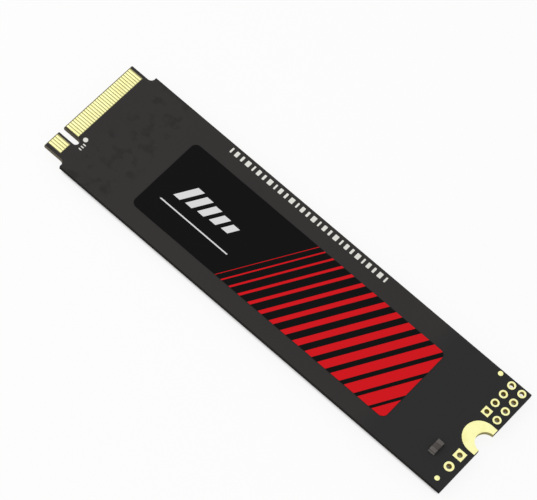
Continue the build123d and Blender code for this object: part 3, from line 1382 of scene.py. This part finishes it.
@dataclass
class Silkscreen(SubAssembly):
    """White ink on the label side: a dot and ticks beside the key notch, and a row of plain blocks."""

    thickness: float = 0.012
    dot: float = 0.8
    dot_place: Spot = (-36.17, -4.87)
    tick_length: float = 0.55
    tick_width: float = 0.2
    tick_x: float = -35.7
    tick_rows: tuple[float, ...] = (-5.65, -6.15, -6.65)
    row_start: float = -19.4
    row_end: float = 12.4
    row_y: float = 9.92
    dash_height: float = 1.0
    dash_lengths: tuple[float, ...] = (0.3, 0.6, 0.4, 0.75)
    dash_gap: float = 0.6
    corner: float = 0.1

    def build(self) -> None:
        """Makes the ink marks."""
        ticks = [(self.tick_x, y) for y in self.tick_rows]
        self.meshes["dot"] = self.marks([self.dot_place], self.dot, self.dot, self.dot / 2)
        self.meshes["ticks"] = self.marks(ticks, self.tick_length, self.tick_width, self.corner)
        rows: dict[float, list[Spot]] = {length: [] for length in self.dash_lengths}
        x, lengths = self.row_start, cycle(self.dash_lengths)
        while x < self.row_end:
            length = next(lengths)
            rows[length].append((x + length / 2, self.row_y))
            x += length + self.dash_gap
        for length, row in rows.items():
            self.meshes[f"dashes {length}"] = self.marks(row, length, self.dash_height, self.corner)

    def marks(self, spots: Sequence[Spot], length: float, width: float, corner: float) -> Mesh:
        """Makes ink marks of one size.

        Args:
            spots: Their middles.
            length: Their size along the board.
            width: Their size across it.
            corner: Radius of their corners.

        Returns:
            Their mesh.
        """
        top = corners(BOARD)[1].z
        sizes = {"Length": length, "Width": width, "Thickness": self.thickness, "Corner": corner}
        return PLATES.run(points_mesh([Place(Vector((x, y, top))) for x, y in spots]), INK, **sizes)

    def dress(self) -> list[Object]:
        """Puts the ink on the board."""
        return [piece("silkscreen", joined("silkscreen", list(self.meshes.values())), Slot.BOARD_INK)]


@dataclass
class Chips(SubAssembly):
    """Two-ended chips of one size: bodies, wrapped terminals and solder fillets."""

    group: str
    side: Side
    slot: Slot
    body: Finish
    terminal: Finish = TIN
    joint: Finish = SOLDER
    body_break: float = 0.03
    terminal_break: float = 0.05
    terminal_proud: float = 0.012
    fillet_reach: float = 0.16
    fillet_rise: float = 0.6
    fillet_steps: int = 4

    def build(self) -> None:
        """Makes the chips on the CAD ones."""
        bodies, terminals = (blocks(f"{self.group}_{pieces}") for pieces in ("bodies", "terminals"))
        ends = [self.end_place(terminal, bodies) for terminal in terminals]
        turns = [min(ends, key=lambda end: (end.at - body.centre).length).turn for body in bodies]
        middles = [Place(body.centre, turn) for body, turn in zip(bodies, turns)]
        cap, core = self.size_along(terminals[0], ends[0]), self.size_along(bodies[0], middles[0])
        core += 2 * self.terminal_proud * Vector((1, -1, -1))
        self.meshes["caps"] = self.boxes(ends, cap, self.terminal, self.terminal_break)
        self.meshes["cores"] = self.boxes(middles, core, self.body, self.body_break)
        self.meshes["fillets"] = self.fillets(ends, cap, terminals[0])

    def end_place(self, terminal: Block, bodies: Sequence[Block]) -> Place:
        """Finds which way a terminal points.

        Args:
            terminal: The terminal.
            bodies: All chip bodies.

        Returns:
            Its middle, turned the way that it points out of its own body.
        """
        body = min(bodies, key=lambda block: (block.centre - terminal.centre).length)
        out = terminal.centre - body.centre
        return Place(terminal.centre, math.atan2(out.y, out.x))

    def size_along(self, block: Block, place: Place) -> Vector:
        """A block's length along its turn, its width and its height."""
        size, turn = block.size, place.turn
        return size.yxz if abs(math.sin(turn)) > abs(math.cos(turn)) else size

    def boxes(self, places: Sequence[Place], size: Vector, finish: Finish, edge_break: float) -> Mesh:
        """Boxes of one size with rounded edges."""
        sizes = dict(zip(("Length", "Width", "Height"), size))
        return BOXES.run(points_mesh(places), finish, edge_break, **sizes)

    def fillets(self, ends: Sequence[Place], cap: Vector, terminal: Block) -> Mesh:
        """Makes hollow fillets from the board up each terminal's outer end.

        Args:
            ends: The terminals' places.
            cap: A terminal's length, width and height.
            terminal: One terminal, which gives the board's height.

        Returns:
            Their mesh.
        """
        seat = terminal.low.z if self.side is Side.LABEL else terminal.high.z
        wedge = holder_of(self.wedge(cap.y, cap.z * self.fillet_rise * self.side.value))
        places = []
        for end in ends:
            at = end.at + Vector((math.cos(end.turn), math.sin(end.turn), 0)) * (cap.x / 2)
            places.append(Place(Vector((at.x, at.y, seat)), end.turn))
        mesh = COPIES.run(points_mesh(places), self.joint, shape=wedge)
        bpy.data.objects.remove(wedge)
        return mesh

    def wedge(self, width: float, rise: float) -> Mesh:
        """Makes one fillet against the YZ plane.

        Args:
            width: Its width along Y.
            rise: Its height along Z, which is negative where it hangs.

        Returns:
            A closed wedge with a hollow slope.
        """
        angles = [math.pi / 2 * step / self.fillet_steps for step in range(self.fillet_steps + 1)]
        slope = [(self.fillet_reach * (1 - math.sin(a)), rise * (1 - math.cos(a))) for a in angles]
        rim = [(0, 0), *slope]
        shape = bmesh.new()
        near, far = ([shape.verts.new((x, y, z)) for x, z in rim] for y in (-width / 2, width / 2))
        shape.faces.new(near)
        shape.faces.new(far[::-1])
        for i in range(len(near)):
            shape.faces.new((near[i - 1], far[i - 1], far[i], near[i]))
        bmesh.ops.recalc_face_normals(shape, faces=shape.faces)
        return mesh_of(shape, f"{self.group}_fillet")

    def dress(self) -> list[Object]:
        """Puts the chips in place of the CAD ones.

        Returns:
            The bodies, the terminals and the fillets.
        """
        group, meshes = self.group, self.meshes
        return [
            piece(f"{group}_cores", meshes["cores"], self.slot, stands_for=(f"{group}_bodies",)),
            piece(f"{group}_caps", meshes["caps"], Slot.TERMINAL_TIN, stands_for=(f"{group}_terminals",)),
            piece(f"{group}_fillets", meshes["fillets"], Slot.SOLDER),
        ]


@dataclass
class Package(SubAssembly):
    """A moulded package, and its solder balls where it has them."""

    node: str
    edge_break: float = 0.035
    dot_margin: float = 1.2
    carrier: float = 0.2
    ball_overlap: float = 1.2

    @property
    def ball_node(self) -> str:
        """The CAD node of the package's balls."""
        return f"{self.node}_balls"

    def build(self) -> None:
        """Makes the body and its balls."""
        self.meshes["body"] = softened(self.node, self.edge_break)
        if self.ball_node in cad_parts:
            balls = blocks(self.ball_node)
            size = balls[0].size
            places = points_mesh([Place(ball.centre) for ball in balls])
            self.meshes["balls"] = BALLS.run(places, SOLDER, Width=size.x, Height=size.z * self.ball_overlap)

    def dress(self) -> list[Object]:
        """Gives the body its own first-pin dot, and puts both in place of the CAD ones.

        Returns:
            The body, and the balls where it has them.
        """
        low, high = corners(self.node)
        dot_place = (low.x + self.dot_margin, high.y - self.dot_margin)
        mould = Mould(f"{self.node}_mould", dot_place, high.z - self.carrier)
        made = [piece(f"{self.node}_body", self.meshes["body"], Slot.PACKAGE_MOULD, (mould,), (self.node,))]
        if balls := self.meshes.get("balls"):
            made.append(piece(f"{self.node}_joints", balls, Slot.SOLDER, stands_for=(self.ball_node,)))
        return made


@dataclass
class Softened(SubAssembly):
    """A CAD node that keeps its form, with rounded edges and its own finish."""

    node: str
    slot: Slot
    finish: Finish
    edge_break: float

    def build(self) -> None:
        """Rounds the edges."""
        self.meshes["whole"] = softened(self.node, self.edge_break)

    def dress(self) -> list[Object]:
        """Puts the piece in place of the CAD one."""
        name, mesh = f"{self.node}_finished", self.meshes["whole"]
        return [piece(name, mesh, self.slot, (self.finish,), (self.node,))]


@dataclass
class Viewpoint:
    """The photograph's camera, from the point on the board's top that it looks at."""

    aim: Spot = (-4.037, 0.993)
    azimuth: float = 24.868
    elevation: float = 61.545
    roll: float = 18.192
    distance: float = 506.004
    lens: float = 224.955
    sensor: float = 36.0
    clip_start: float = 10.0

    def build(self) -> None:
        """Makes the camera the scene's own."""
        data = bpy.data.cameras.new("photo_camera")
        data.lens = self.lens
        data.sensor_width = self.sensor
        data.clip_start = self.clip_start * MM
        aim = Matrix.Translation(Vector((*self.aim, corners(BOARD)[1].z)) * MM)
        turn = Matrix.Rotation(math.radians(self.azimuth), 4, "Z")
        tilt = Matrix.Rotation(math.radians(90 - self.elevation), 4, "X")
        roll = Matrix.Rotation(math.radians(self.roll), 4, "Z")
        back = Matrix.Translation((0, 0, self.distance * MM))
        camera = placed("photo_camera", data)
        camera.matrix_world = aim @ turn @ tilt @ roll @ back
        bpy.context.scene.camera = camera


@dataclass
class Studio:
    """A pale floor under soft light."""

    floor_size: float = 6000.0
    floor_colour: Colour = (0.95, 0.95, 0.95, 1.0)
    floor_roughness: float = 0.9
    floor_glow: float = 0.88
    shade_depth: float = 0.8
    notch_room: float = 2.6
    sky_colour: Colour = (1.0, 1.0, 1.0, 1.0)
    sky: float = 0.62
    lamp_place: Triple = (-190.0, -120.0, 190.0)
    lamp_size: float = 420.0
    lamp_power: float = 0.5

    def build(self) -> None:
        """Makes the floor, the sky and the lamp."""
        self.build_floor()
        self.build_sky()
        self.build_lamp()
        bpy.context.scene.view_settings.view_transform = "Standard"

    def seen(self, graph: Graph) -> Shade:
        """1 where the camera sees something, straight, in a gloss or through glass."""
        ray = graph.node("ShaderNodeLightPath", output="Is Camera Ray")
        return ray.either(ray.beside("Is Glossy Ray")).either(ray.beside("Is Transmission Ray"))

    def covered(self, surface: Surface) -> Shade:
        """Masks the floor under the card, where only its own holes let light in.

        Args:
            surface: The floor's surface.

        Returns:
            1 well inside the card's outline, and 0 outside it.
        """
        x, y, _ = surface.axes(surface.place())
        high = corners(BOARD)[1]
        from_notch = distance(x, y, (high.x, 0.0)) - self.notch_room
        edges = (high.y - abs(y), high.x - x, x - WALL.tongue_end, from_notch)
        return math.prod(edge.eased(0.0, self.shade_depth) for edge in edges)

    def build_floor(self) -> None:
        """Makes the floor, which takes the card's shadow."""
        shape = bmesh.new()
        bmesh.ops.create_grid(shape, x_segments=1, y_segments=1, size=self.floor_size / 2)
        floor = placed("floor", mesh_of(shape, "floor"))
        surface = Surface("pale_floor")
        surface.finish(Base_Color=self.floor_colour, Roughness=self.floor_roughness, Specular_IOR_Level=0.0)
        glow = surface.node("ShaderNodeEmission", {}, {"Strength": 1.0})
        share = self.seen(surface) * self.floor_glow * (1 - self.covered(surface))
        both = surface.node("ShaderNodeMixShader", {}, {0: share, 1: surface.shader, 2: glow})
        surface.feed(surface.exit.node.inputs["Surface"], both)
        floor.data.materials.append(surface.material)

    def build_sky(self) -> None:
        """Makes the even sky: white where it is seen, softer as light."""
        world = bpy.data.worlds.new("soft_sky")
        world.use_nodes = True
        bpy.context.scene.world = world
        graph = Graph(world.node_tree)
        graph.tree.nodes.clear()
        strength = self.sky + (1 - self.sky) * self.seen(graph)
        sky = graph.node("ShaderNodeBackground", {}, {"Color": self.sky_colour, "Strength": strength})
        graph.node("ShaderNodeOutputWorld", {}, {"Surface": sky})

    def build_lamp(self) -> None:
        """Makes the one soft lamp, over the contact end."""
        data = bpy.data.lights.new("soft_box", "AREA")
        data.size = self.lamp_size * MM
        data.energy = self.lamp_power
        lamp = placed("soft_box", data)
        lamp.location = Vector(self.lamp_place) * MM
        lamp.rotation_euler = (-lamp.location).to_track_quat("-Z", "Y").to_euler()


def numbered(prefix: str) -> list[str]:
    """CAD nodes that are named by this prefix and a number, in order."""
    return sorted(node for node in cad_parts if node.removeprefix(prefix).isdigit())


def sub_assemblies() -> list[SubAssembly]:
    """Lists what goes on the card.

    Returns:
        The sub-assemblies, in the order that they go on.
    """
    gold = ("label_side_screw_pad", "chip_side_screw_pad", "alignment_dots", "crystal_lands")
    packages = ("controller", "power_manager", *numbered("flash_"))
    end_chip = {"body": GREY_BROWN, "terminal": DULL_TIN, "joint": DULL_SOLDER, "terminal_break": 0.12}
    return [
        Board(),
        Contacts(Side.LABEL),
        Contacts(Side.CHIP),
        *[Softened(node, Slot.CONTACT_GOLD, GOLD, edge_break=0.012) for node in gold],
        PlatedHoles("service_header_eyelets", "service_holes"),
        PlatedHoles("jumper_eyelets", "jumper_holes"),
        Label(),
        Silkscreen(),
        Softened("end_chip_lands", Slot.SOLDER, DULL_SOLDER, edge_break=0.012),
        Chips("end_chip", Side.LABEL, Slot.END_CHIP_MOULD, **end_chip),
        *[Package(node) for node in packages],
        Softened("power_manager_leads", Slot.TERMINAL_TIN, TIN, edge_break=0.015),
        *[Softened(node, Slot.INDUCTOR_FERRITE, FERRITE, edge_break=0.07) for node in numbered("inductor_")],
        Softened("inductor_terminals", Slot.TERMINAL_TIN, TIN, edge_break=0.025),
        Softened("crystal_base", Slot.CRYSTAL_CERAMIC, DARK_CERAMIC, edge_break=0.03),
        Softened("crystal_lid", Slot.CRYSTAL_LID, LID, edge_break=0.06),
        Chips("capacitor", Side.CHIP, Slot.CAPACITOR_CERAMIC, TAN),
        Chips("bulk_capacitor", Side.CHIP, Slot.CAPACITOR_CERAMIC, TAN, fillet_reach=0.25),
        Chips("resistor", Side.CHIP, Slot.RESISTOR_GLAZE, GLAZE),
    ]


def main() -> None:
    """Builds the card's looks, the studio and the camera."""
    logging.basicConfig(level=logging.INFO, format="%(name)s: %(message)s")
    for group in sub_assemblies():
        group.build()
        for made in group.dress():
            log.info("%s: %d faces", made.name, len(made.data.polygons))
    Studio().build()
    Viewpoint().build()


if __name__ == "__main__":
    main()
